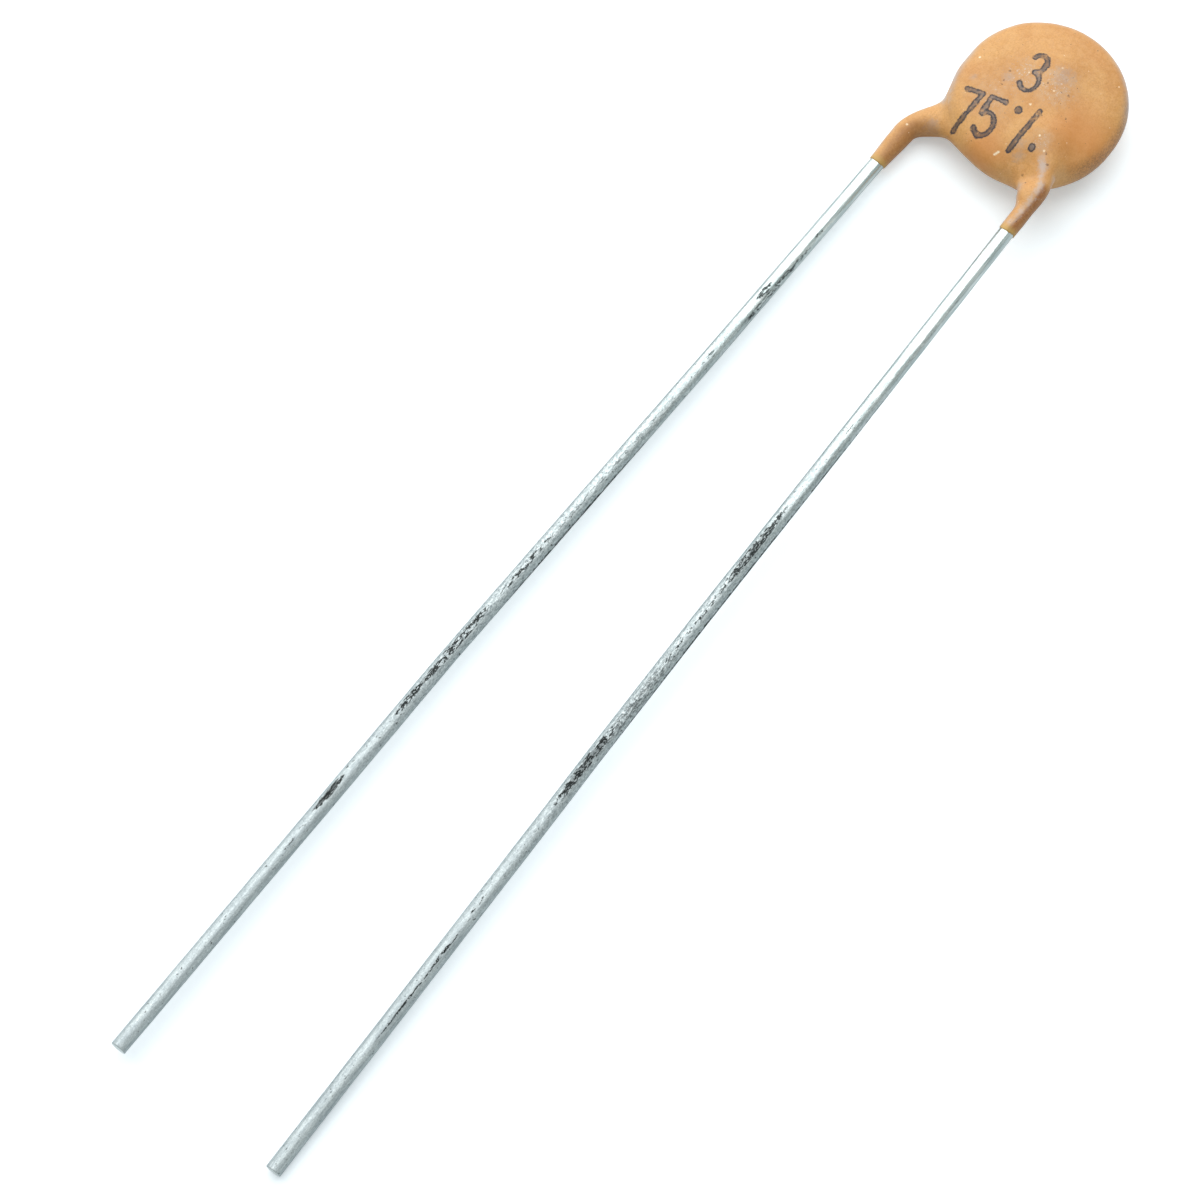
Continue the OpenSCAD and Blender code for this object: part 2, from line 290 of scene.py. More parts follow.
# Where the swelling on each lead ends, and its sleeve: start, knee, end of the coating and a little past it
for name, lead in leads.items():
    lead["edge"] = crossing(lead, coat["swellReach"])
    knee, bend = lead["route"][1:3]
    stop = knee + (bend - knee) * (part["coatReach"] + knee[0]) / (knee[0] - bend[0])
    start = crossing(lead, coat[name + "SleeveFrom"])
    bent = roundedCorner(start, knee, stop, coat[name + "KneeBend"], coat["kneeSteps"])
    lead["sleeve"] = [start, *bent, stop, stop + unit(bend - knee) * coat["pastEnd"]]
    lead["stop"] = stop
for name, web in webs.items():
    fromAxis = web["inset"] * web["radius"] - part["coatRadius"]
    web["onDisc"] = np.array([fromAxis, leads[name]["y"] * web["across"], part["discZ"]])
    web["onLead"] = leads[name]["route"][1] + np.array(web["fromKnee"]) * part["leadRadius"]

# Radius of the swellings, at which the soft minimum leaves the lead's coat just as thick as it should be
bareStep = part["discZ"] - bodyHalf(np.hypot(*leads["rear"]["joint"][:2]))
overRadius = part["leadRadius"] + coat["leadCoat"] - coat["faceFlow"] - bareStep
overRadius = overRadius + 2 * np.sqrt(coat["faceFlow"] * bareStep)


# Distance to the skin: rounded body, swellings over the leads, webs and sleeves, run together by a soft minimum,
# then cut off at the end of each sleeve along a slightly ragged line
def skinGap(p):
    endRadius = part["leadRadius"] + coat["endCoat"]
    gap = bodyGap(p)
    for lead in leads.values():
        swelling = barGap(p, lead["route"][0], lead["edge"], overRadius, overRadius)
        gap = softMin(gap, swelling, coat["faceFlow"])
    for web in webs.values():
        bar = barGap(p, web["onDisc"], web["onLead"], web["radius"], web["radius"])
        gap = softMin(gap, bar, coat["webFlow"])
    for name, lead in leads.items():
        kneeRadius = part["leadRadius"] + coat[name + "KneeCoat"]
        gap = softMin(gap, sleeveGap(p, lead["sleeve"], kneeRadius, endRadius), coat[name + "Flow"])
    uneven = coat["unevenness"] * (1 + waves(p, coat["unevenPitch"], coat["unevenSeed"]))
    gap = gap + uneven * smoothStep(p[:, 0], -part["coatReach"], coat["unevenFrom"])
    endHeight = np.where(p[:, 1] > 0, leads["rear"]["stop"][2], leads["front"]["stop"][2])
    tongue = coat["endTongue"] * (np.clip((p[:, 2] - endHeight) / endRadius, 0, 1) - 0.5)
    ragged = coat["raggedEnd"] * waves(p * np.array([0, 1, 1]), coat["raggedPitch"], coat["raggedSeed"])
    return np.maximum(gap, ragged - tongue - part["coatReach"] - p[:, 0])


# How the distance grows along X, Y and Z: its change over a small step, divided by the step
def skinSlope(p, gap):
    e = coat["slopeStep"]
    return np.stack([(skinGap(p + e * axis) - gap) / e for axis in np.eye(3)], axis=1)


# Points moved on to the skin: back along the slope by the distance over the slope squared
def ontoSkin(p, rounds):
    for i in range(rounds):
        gap = skinGap(p)
        slope = skinSlope(p, gap)
        p = p - slope * (gap / np.maximum((slope * slope).sum(1), coat["leastSlope"]))[:, None]
    return p


# The skin as a net: each cell of a grid that the skin passes through holds one point, the mean of the
# places where it crosses the cell's edges; each crossed grid edge joins the four cells round it
def coatSkin():
    step = coat["step"]
    reach = part["coatRadius"] + coat["rimRoom"]
    low = np.array([-part["coatReach"] - coat["endRoom"], -reach, -coat["faceRoom"]])
    high = np.array([reach, leads["rear"]["y"] + coat["rearRoom"], 2 * part["discZ"] + coat["faceRoom"]])
    count = np.ceil((high - low) / step).astype(int) + 1
    ticks = [low[a] + step * np.arange(count[a]) for a in range(3)]
    grid = np.stack(np.meshgrid(*ticks, indexing="ij"), -1)
    gap = skinGap(grid.reshape(-1, 3)).reshape(count)
    inside = gap < 0
    cells = count - 1
    total, hits = np.zeros((*cells, 3)), np.zeros(cells)
    rings = []
    for a in range(3):
        b, c = (a + 1) % 3, (a + 2) % 3
        head = [slice(None)] * 3
        tail = [slice(None)] * 3
        head[a], tail[a] = slice(0, -1), slice(1, None)
        g0, g1 = gap[tuple(head)], gap[tuple(tail)]
        crossed = (g0 < 0) != (g1 < 0)
        share = np.where(crossed, g0 / np.where(crossed, g0 - g1, 1), 0)
        for db in (0, 1):
            for dc in (0, 1):
                cut = [slice(None)] * 3
                cut[b] = slice(db, cells[b] + db)
                cut[c] = slice(dc, cells[c] + dc)
                here = crossed[tuple(cut)]
                spot = np.zeros((*cells, 3))
                spot[..., a], spot[..., b], spot[..., c] = share[tuple(cut)], db, dc
                total += spot * here[..., None]
                hits += here
        rings.append(np.argwhere(crossed))
    number = np.full(cells, -1)
    cut = np.argwhere(hits > 0)
    number[tuple(cut.T)] = np.arange(len(cut))
    points = low + step * (cut + total[tuple(cut.T)] / hits[tuple(cut.T)][:, None])
    faces = []
    for a in range(3):
        b, c = np.eye(3, dtype=int)[(a + 1) % 3], np.eye(3, dtype=int)[(a + 2) % 3]
        at = rings[a]
        ring = np.stack([number[tuple((at - d).T)] for d in (b + c, c, 0 * b, b)], axis=1)
        out = inside[tuple(at.T)]
        faces.append(np.where(out[:, None], ring, ring[:, ::-1]))
    faces = np.concatenate(faces)
    # rounds of evening out: each point goes halfway to the mean of its neighbours and back on to the skin
    turned = np.roll(faces, 1, axis=1)
    ends = np.concatenate([faces, turned], axis=0).reshape(-1)
    others = np.concatenate([turned, faces], axis=0).reshape(-1)
    uses = np.bincount(ends, minlength=len(points))
    free = points[:, 0] > -part["coatReach"] + coat["heldSteps"] * step
    for i in range(coat["evenings"]):
        near = [np.bincount(ends, points[others, k], len(points)) for k in range(3)]
        near = np.stack(near, axis=1) / uses[:, None]
        points[free] = ontoSkin((points[free] + near[free]) / 2, 1)
    points = np.where(free[:, None], ontoSkin(points, coat["settlings"]), points)
    points[:, 2] = np.maximum(points[:, 2], coat["floorGap"])
    return points, faces


coatPoints, coatFaces = coatSkin()
coatOutward = unit(skinSlope(coatPoints, skinGap(coatPoints)))
coating = addMesh("coating_skin", coatPoints, coatFaces)
print("coating drawn,", len(coatFaces), "quads")


# Worn figures on the upper face: plain numbers, drawn as lines of ink whose distance the material reads.
# Places are measured along and across the row of figures, in mm from the middle of the row
ink = {
    "middle": (-1.9, 0.55), "turn": 8.0, "faceFrom": -4.0,
    "upper": (0.26, 2.2), "first": (-1.18, 0.0), "second": (-0.36, 0.05), "bar": (0.97, 0.12),
    "size": (0.62, 1.45), "barSize": (0.16, 0.83), "dotRadius": 0.1, "dotSteps": 8, "arcSteps": 18,
    "upperDot": (0.44, 0.72), "lowerDot": (1.5, -0.34),
    "halfWidth": 0.1, "edge": 0.02, "thinShare": 0.8, "thinness": 0.72, "fadeFrom": 0.02, "fadeShare": 0.7,
    "black": (46, 42, 48), "grey": (136, 134, 134),
}


# Part of an ellipse, from its centre and two radii, between two angles in degrees
def arc(cx, cy, rx, ry, start, stop, count=ink["arcSteps"]):
    t = np.radians(np.linspace(start, stop, count))
    return np.stack([cx + rx * np.cos(t), cy + ry * np.sin(t)], axis=1)


# Each figure is a few strokes in a box one wide and one tall about its middle
def figureThree():
    return [arc(0, 0.26, 0.42, 0.24, 150, -90), arc(0, -0.24, 0.5, 0.26, 90, -150)]


def figureSeven():
    return [np.array([[-0.5, 0.5], [0.45, 0.5], [-0.1, -0.5]])]


def figureFive():
    return [np.concatenate([[[0.45, 0.5], [-0.36, 0.5], [-0.42, 0.06]], arc(0, -0.2, 0.5, 0.3, 140, -150)])]


# The figures, bar and dots: sized, moved to their places in the row, and the row turned on to the face
def inkLines():
    size = np.array(ink["size"])
    strokes = []
    for figure, spot in ((figureThree, "upper"), (figureSeven, "first"), (figureFive, "second")):
        strokes += [stroke * size + np.array(ink[spot]) for stroke in figure()]
    lean, rise = ink["barSize"]
    strokes.append(np.array(ink["bar"]) + np.array([[-lean, -rise], [lean, rise]]))
    dotLine = ink["dotRadius"] / 2
    for dot in ("upperDot", "lowerDot"):
        strokes.append(arc(*ink[dot], dotLine, dotLine, 0, 360, ink["dotSteps"]))
    turn = np.radians(ink["turn"])
    up, right = np.array([np.cos(turn), np.sin(turn)]), np.array([np.sin(turn), -np.cos(turn)])
    return [np.array(ink["middle"]) + stroke[:, :1] * right + stroke[:, 1:] * up for stroke in strokes]


# Distance to a line of several points, seen from above
def lineGap(p, line):
    gap = np.full(len(p), farOff)
    for a, b in zip(np.array(line[:-1]), np.array(line[1:])):
        t = np.clip((p[:, :2] - a) @ (b - a) / ((b - a) @ (b - a)), 0, 1)
        gap = np.minimum(gap, np.linalg.norm(p[:, :2] - a - t[:, None] * (b - a), axis=1))
    return gap


# Distance from each point of the upper face to the nearest line of ink
def inkGap(p):
    gap = np.full(len(p), farOff)
    near = np.flatnonzero((p[:, 2] > part["discZ"]) & (p[:, 0] > ink["faceFrom"]))
    for stroke in inkLines():
        gap[near] = np.minimum(gap[near], lineGap(p[near], stroke))
    return gap


# Wear and painted light on the skin, seen from above. Pale: place, radius and amount. Glints, specks, smudges and
# deepShade: place and radius. Ranges give where a mask starts and where it is full. The deepShade patches are
# painted shade, the browns and the dirt are partly painted shade, and the rim band is a painted reflection
wearAndPaintedLight = {
    "pale": [((0.3, -0.3), 1.1, 0.9), ((0.1, 0.85), 1.0, 0.75),
             ((-1.7, -1.1), 0.6, 0.8), ((-1.2, 1.2), 1.3, 0.45)],
    "paleCore": 0.1,
    "crest": [(-4.72, -2.0), (-4.2, -2.06), (-3.7, -2.1), (-3.3, -2.08),
              (-2.92, -2.0), (-2.5, -1.75), (-2.1, -1.45)],
    "rearAxis": [(-4.9, 3.2), (-4.1, 3.28), (-3.6, 3.26), (-3.1, 3.08), (-2.65, 2.65), (-2.4, 2.1)],
    "glints": [((-0.13, 2.5), 0.05), ((-0.75, 0.0), 0.055), ((1.01, -0.09), 0.045), ((0.23, 0.74), 0.04),
               ((0.1, -0.36), 0.05), ((-1.0, -0.43), 0.04), ((-1.58, -0.97), 0.05), ((-1.93, -1.4), 0.05),
               ((1.85, -1.91), 0.035), ((-3.3, 3.2), 0.05), ((-2.84, -0.05), 0.055), ((-2.78, -0.08), 0.055),
               ((-2.72, -0.11), 0.055)],
    "specks": [((-0.06, 1.32), 0.05), ((-0.47, 1.28), 0.04), ((-0.63, 1.25), 0.04), ((-0.51, -1.12), 0.04),
               ((-0.48, -1.27), 0.05), ((0.29, -0.85), 0.06), ((0.22, -0.02), 0.05), ((-2.89, -1.25), 0.05),
               ((-2.25, -1.78), 0.06), ((-1.96, -1.51), 0.05), ((0.23, -0.59), 0.04)],
    "smudges": [((-0.91, 2.2), 0.16), ((-2.1, -0.56), 0.25), ((-2.47, -0.76), 0.25), ((0.75, -0.31), 0.5),
                ((-0.29, 1.24), 0.25), ((-2.35, -1.68), 0.25), ((-2.85, 2.5), 0.3)],
    # painted shade: deeper orange patches on the lower right of the face and between the legs
    "deepShade": [((-0.5, -2.1), 1.7), ((-2.9, 0.4), 1.1)],
    "deepShadeRange": (0.1, 1.0),
    "dirtAndShadeWay": (0.02, -1.0), "dirtAndShadeInner": 0.3, "dirtAndShadeFacing": (0.7, 0.97),
    "rearBrownAndShade": {"side": (-0.25, 0.15), "past": (0.7, 1.0), "out": (2.5, 3.3), "amount": 0.65},
    "frontBrownAndShade": {"side": (0.02, 0.1), "past": (0.15, 0.4), "out": (2.7, 3.1), "amount": 0.95, "thinner": 0.35},
    "rimWay": (0.6, 0.8), "rimBelow": (-0.6, 0.45), "rimAbove": (0.25, 0.9), "rimAway": (0.1, 0.5),
}


# Rubbed places: the largest of some soft spots on the upper side, each full within its core
def paleMask(p):
    mask = np.zeros(len(p))
    for (x, y), radius, amount in wearAndPaintedLight["pale"]:
        away = np.hypot(p[:, 0] - x, p[:, 1] - y)
        mask = np.maximum(mask, amount * (1 - smoothStep(away, wearAndPaintedLight["paleCore"] * radius, radius)))
    return mask * (p[:, 2] > part["discZ"])


# Dirt and painted shade: near the rim, times how far a place faces the dirtAndShadeWay, the side turned from the
# light
def dirtAndShadeMask(p):
    r = np.hypot(p[:, 0], p[:, 1])
    facing = (p[:, :2] @ unit(np.array(wearAndPaintedLight["dirtAndShadeWay"]))) / np.maximum(r, 0.01)
    rim = smoothStep(r, part["coatRadius"] - wearAndPaintedLight["dirtAndShadeInner"], part["coatRadius"])
    return rim * smoothStep(facing, *wearAndPaintedLight["dirtAndShadeFacing"])


# Distance to the nearest of some round spots on the upper side, as a share of the spot's radius
def spotGap(p, outward, spots):
    gap = np.full(len(p), farOff)
    for (x, y), radius in spots:
        gap = np.minimum(gap, np.hypot(p[:, 0] - x, p[:, 1] - y) / radius)
    return gap + farOff * (outward[:, 2] < 0)


# Browned places with painted shade: the lower side of the rear leg, and the side of the front leg beyond its crest,
# both turned from the light
def brownAndShadeMask(p):
    rear, front = wearAndPaintedLight["rearBrownAndShade"], wearAndPaintedLight["frontBrownAndShade"]
    rearSide = np.interp(p[:, 0], *np.array(wearAndPaintedLight["rearAxis"]).T) - p[:, 1]
    frontSide = np.interp(p[:, 0], *np.array(wearAndPaintedLight["crest"]).T) - p[:, 1]
    rearMask = smoothStep(rearSide, *rear["side"]) * (1 - smoothStep(rearSide, *rear["past"]))
    thinned = 1 - front["thinner"] * smoothStep(frontSide, *front["past"])
    frontMask = smoothStep(frontSide, *front["side"]) * thinned
    rearMask, frontMask = [mask * smoothStep(-p[:, 0], *leg["out"])
                           for mask, leg in ((rearMask, rear), (frontMask, front))]
    return np.maximum(rear["amount"] * rearMask, front["amount"] * frontMask)


# Painted grazing reflection: a grey band on the shoulder of the sides that face away from the leads' tips or past
# the rear lead
def rimReflectionMask(outward):
    away = np.maximum(outward[:, 0], outward[:, :2] @ np.array(wearAndPaintedLight["rimWay"]))
    height = outward[:, 2]
    shoulder = smoothStep(height, *wearAndPaintedLight["rimBelow"]) * (1 - smoothStep(height, *wearAndPaintedLight["rimAbove"]))
    return shoulder * smoothStep(away, *wearAndPaintedLight["rimAway"])


addValue(coating, "inkGap", inkGap(coatPoints))
addValue(coating, "pale", paleMask(coatPoints))
addValue(coating, "dirtAndShade", dirtAndShadeMask(coatPoints))
addValue(coating, "crestGap", lineGap(coatPoints, wearAndPaintedLight["crest"]) + farOff * (coatPoints[:, 2] < part["discZ"]))
addValue(coating, "brownAndShade", brownAndShadeMask(coatPoints))
addValue(coating, "rim", rimReflectionMask(coatOutward))
for kind in ("glints", "specks", "smudges"):
    addValue(coating, kind, spotGap(coatPoints, coatOutward, wearAndPaintedLight[kind]))
deepShadeGap = spotGap(coatPoints, coatOutward, wearAndPaintedLight["deepShade"])
addValue(coating, "deepShade", 1 - smoothStep(deepShadeGap, *wearAndPaintedLight["deepShadeRange"]))
addValue(coating, "endGap", coatPoints[:, 0] + part["coatReach"])
print("figures and wear laid on the coating")


# Marks on the leads: distance in mm from the coating's end, how far round from the +Y side, half length, half turn,
# strength. Waves: small bends of the wire to the side, distance from the coating's end and how far in mm.
# End profile: how far from the cut end, and how far in from the wire's side
wire = {
    "pitch": 0.06, "sides": 40, "kneeRadius": 0.9, "bowRadius": 12.0, "bendSteps": 12,
    "dents": 0.006, "dentPitch": 0.5, "dentSeed": 3, "dentStretch": (0.35, 1, 1),
    "endProfile": [(0.06, 0.0), (0.035, 0.0), (0.017, 0.005), (0.006, 0.017), (0.002, 0.035), (0.002, 0.07)],
    "endRoom": 0.09, "cutInset": (0.01, 0.04), "markRange": (0.5, 1.0),
    "rearMarks": [(3.4, 122, 0.3, 14, 0.9), (5.9, 140, 2.7, 30, 0.6), (6.3, 92, 0.5, 26, 1.3),
                  (9.4, 95, 0.5, 14, 0.6), (12.0, 135, 4.0, 34, 0.25), (15.0, 98, 6.0, 18, 0.4),
                  (19.0, 92, 1.8, 24, 0.8), (22.6, 86, 2.4, 36, 0.9), (25.0, 82, 0.9, 28, 1.2),
                  (29.1, 78, 0.95, 26, 1.8), (31.2, 100, 0.4, 8, 0.6), (30.0, 130, 9.0, 34, 0.18),
                  # the last mark, 174 round from the +Y side, is a painted dark reflection of the shade on the
                  # floor beside the wire, not a scuff
                  (16.7, 174, 4.6, 18, 1.8)],
    "frontMarks": [(4.5, 128, 3.0, 24, 0.25), (9.0, 90, 0.4, 10, 0.6), (11.0, 130, 2.5, 30, 0.25),
                   (14.2, 86, 2.2, 32, 1.55), (17.6, 94, 2.4, 16, 0.8), (20.6, 104, 3.4, 60, 0.4),
                   (23.4, 88, 2.0, 36, 1.6), (26.5, 125, 4.0, 36, 0.22), (29.1, 90, 0.4, 12, 1.4),
                   (31.0, 100, 0.4, 8, 0.8), (32.0, 105, 3.6, 6, 1.5), (34.0, 130, 4.0, 30, 0.18),
                   # the last mark, 174 round from the +Y side, is a painted dark reflection of the shade on the
                   # floor beside the wire, not a scuff
                   (15.0, 174, 9.5, 18, 1.8)],
    "rearWaves": [(0, 0), (5, -0.02), (9, -0.045), (20, -0.03), (30, -0.02), (39.5, 0)],
    "frontWaves": [(0, 0), (11, 0), (17, 0.03), (25, 0), (34, 0.01), (39.5, 0.03)],
}


# Rounded route: straight runs and arcs through the knee and the slight bend
def roundedPath(route):
    stretches, last = [], route[0]
    for i, radius in ((1, wire["kneeRadius"]), (2, wire["bowRadius"])):
        bent = roundedCorner(route[i - 1], route[i], route[i + 1], radius, wire["bendSteps"])
        runCount = max(int(np.linalg.norm(bent[0] - last) / wire["pitch"]), 2)
        stretches += [np.linspace(last, bent[0], runCount, endpoint=False), bent[:-1]]
        last = bent[-1]
    runCount = int(np.linalg.norm(route[3] - last) / wire["pitch"])
    stretches.append(np.linspace(last, route[3], runCount))
    return np.concatenate(stretches)


# Wire: a circle carried along the rounded route, with shallow unevenness, its ends rounded over and closed
def leadWire(name, lead):
    path = roundedPath(lead["route"])
    along = np.concatenate([[0], np.cumsum(np.linalg.norm(np.diff(path, axis=0), axis=1))])
    bare = along - np.interp(part["coatReach"], -path[:, 0], along)
    bends = np.array(wire[name + "Waves"])
    path[:, 1] += np.interp(bare, bends[:, 0], bends[:, 1])
    ahead = unit(np.gradient(path, axis=0))
    profile = np.array(wire["endProfile"])
    kept = (along > wire["endRoom"]) & (along < along[-1] - wire["endRoom"])
    count = len(profile)
    root, tip = path[0] + ahead[0] * profile[::-1, :1], path[-1] - ahead[-1] * profile[:, :1]
    path = np.concatenate([root, path[kept], tip])
    bare = np.concatenate([bare[0] + profile[::-1, 0], bare[kept], bare[-1] - profile[:, 0]])
    inset = np.concatenate([profile[::-1, 1], np.zeros(kept.sum()), profile[:, 1]])
    ahead = np.concatenate([np.repeat(ahead[:1], count, 0), ahead[kept], np.repeat(ahead[-1:], count, 0)])
    side = unit(np.cross(ahead, np.array([0.0, 0.0, 1.0])))
    top = np.cross(side, ahead)
    angle = np.linspace(0, 2 * np.pi, wire["sides"], endpoint=False)
    ring = np.cos(angle)[None, :, None] * side[:, None, :] + np.sin(angle)[None, :, None] * top[:, None, :]
    even = (path[:, None, :] + ring * part["leadRadius"]).reshape(-1, 3)
    hollows = 0.5 + 0.5 * waves(even * np.array(wire["dentStretch"]), wire["dentPitch"], wire["dentSeed"])
    dents = wire["dents"] * hollows.reshape(len(path), -1).clip(0, 1)
    radius = part["leadRadius"] - dents - inset[:, None]
    points = path[:, None, :] + ring * radius[:, :, None]
    rows, sides = radius.shape
    index = np.arange(rows * sides).reshape(rows, sides)
    after = np.roll(index, -1, axis=1)
    quads = np.stack([index[:-1], after[:-1], after[1:], index[1:]], axis=-1).reshape(-1, 4)
    caps = [np.full(sides // 2, rows * sides + end) for end in (0, 1)]
    first = np.stack([caps[0], after[0, 1::2], after[0, 0::2], index[0, 0::2]], axis=1)
    last = np.stack([caps[1], index[-1, 0::2], after[-1, 0::2], after[-1, 1::2]], axis=1)
    every = np.concatenate([points.reshape(-1, 3), path[[0, -1]]])
    piece = addMesh(name + "_wire", every, np.concatenate([quads, first, last]))
    # the dark rubbed marks with the painted dark reflection line, the distance along the wire from the end of the
    # coating, and the cut faces
    mark = np.zeros(radius.shape)
    for place, facing, halfLength, halfTurn, strength in wire[name + "Marks"]:
        off = np.abs(bare - place)[:, None] / halfLength
        turned = np.abs((np.degrees(angle) - facing + 180) % 360 - 180)[None, :] / halfTurn
        mark = np.maximum(mark, strength * (1 - smoothStep(np.hypot(off, turned), *wire["markRange"])))
    cut = np.repeat(smoothStep(inset, *wire["cutInset"]), sides)
    addValue(piece, "mark", np.concatenate([mark.ravel(), [0, 0]]))
    addValue(piece, "along", np.concatenate([np.repeat(bare, sides), bare[[0, -1]]]))
    addValue(piece, "cut", np.concatenate([cut, [1, 1]]))
    return piece


wires = {name: leadWire(name, lead) for name, lead in leads.items()}
print("leads drawn,", sum(len(w.data.polygons) for w in wires.values()), "quads")


# Finish of the coating. Grains: size in mm, detail, roughness, two levels of the noise and what they become.
# Strays: size, detail, roughness and swing. Fades: two distances, and the amount at each. Layers: red, green,
# blue and strength. Bumps: size, detail and roughness of the noise, strength and depth in mm
dip = {
    "tan": (208, 146, 80), "lightTan": (221, 164, 96),
    "grains": {
        "tone": (1.6, 3.0, 0.55, 0.35, 0.65), "fine": (0.06, 4.0, 0.75, 0.35, 0.7),
        "blotch": (0.22, 4.0, 0.7, 0.35, 0.7, 0.0, 0.3), "haze": (0.4, 5.0, 0.72, 0.35, 0.75),
        "crumb": (0.06, 2.0, 0.6, 0.58, 0.68), "smut": (0.1, 3.0, 0.65, 0.28, 0.38, 1.0, 0.0),
        "brownAndShade": (0.1, 4.0, 0.7, 0.25, 0.6, 0.6, 1.0), "crest": (0.5, 3.0, 0.6, 0.4, 0.6, 0.35, 1.0),
        "rim": (0.35, 4.0, 0.65, 0.35, 0.65, 0.3, 0.95), "grit": (0.06, 4.0, 0.7, 0.4, 0.65),
        "pit": (0.11, 1.0, 0.55, 0.76, 0.8), "glint": (0.08, 1.0, 0.55, 0.78, 0.82),
        "ink": (0.2, 4.0, 0.65, 0.3, 0.5, 0.35, 1.0),
    },
    "strays": {
        "smudges": (0.14, 5.0, 0.75, 3.0), "crestGap": (0.14, 5.0, 0.75, 0.5), "specks": (0.05, 3.0, 0.7, 3.0),
        "glints": (0.05, 3.0, 0.7, 1.5), "inkEdge": (0.07, 4.0, 0.75, 0.12), "inkWidth": (0.4, 2.0, 0.6, 0.16),
    },
    "fades": {
        "smudges": (0.0, 1.2, 0.4, 0.0), "crestGap": (0.0, 0.2, 0.7, 0.0), "specks": (0.3, 1.2, 0.8, 0.0),
        "glints": (0.3, 1.2, 0.9, 0.0), "endGap": (0.02, 0.3, 1.0, 0.0),
    },
    "layers": {
        "fine": (178, 116, 60, 0.5), "blotch": (226, 176, 122, 1), "deepShade": (212, 134, 66, 0.6),
        "haze": (204, 180, 158, 0.6), "crumb": (226, 216, 204, 0.7), "smut": (120, 98, 84, 0.7),
        "smudge": (170, 152, 144, 1), "brownAndShade": (150, 94, 50, 1), "crest": (200, 178, 164, 1),
        "rim": (196, 182, 172, 1), "dirtAndShade": (150, 98, 56, 0.3), "grit": (104, 78, 58, 0.55),
        "speck": (110, 74, 48, 1), "pit": (82, 56, 38, 0.8), "glint": (252, 232, 196, 1),
        "ends": (196, 158, 86, 0.7),
    },
    "glintShift": (0.031, 0.017, 0.023), "roughness": (0.0, 1.0, 0.45, 0.65),
    "shader": {"Specular IOR Level": 0.4, "Sheen Weight": 0.5, "Sheen Roughness": 0.25,
               "Sheen Tint": (0.85, 0.85, 0.95, 1.0)},
    "grainBump": (0.05, 3.0, 0.6, 0.25, 0.012), "peelBump": (0.3, 3.0, 0.5, 0.35, 0.03),
}


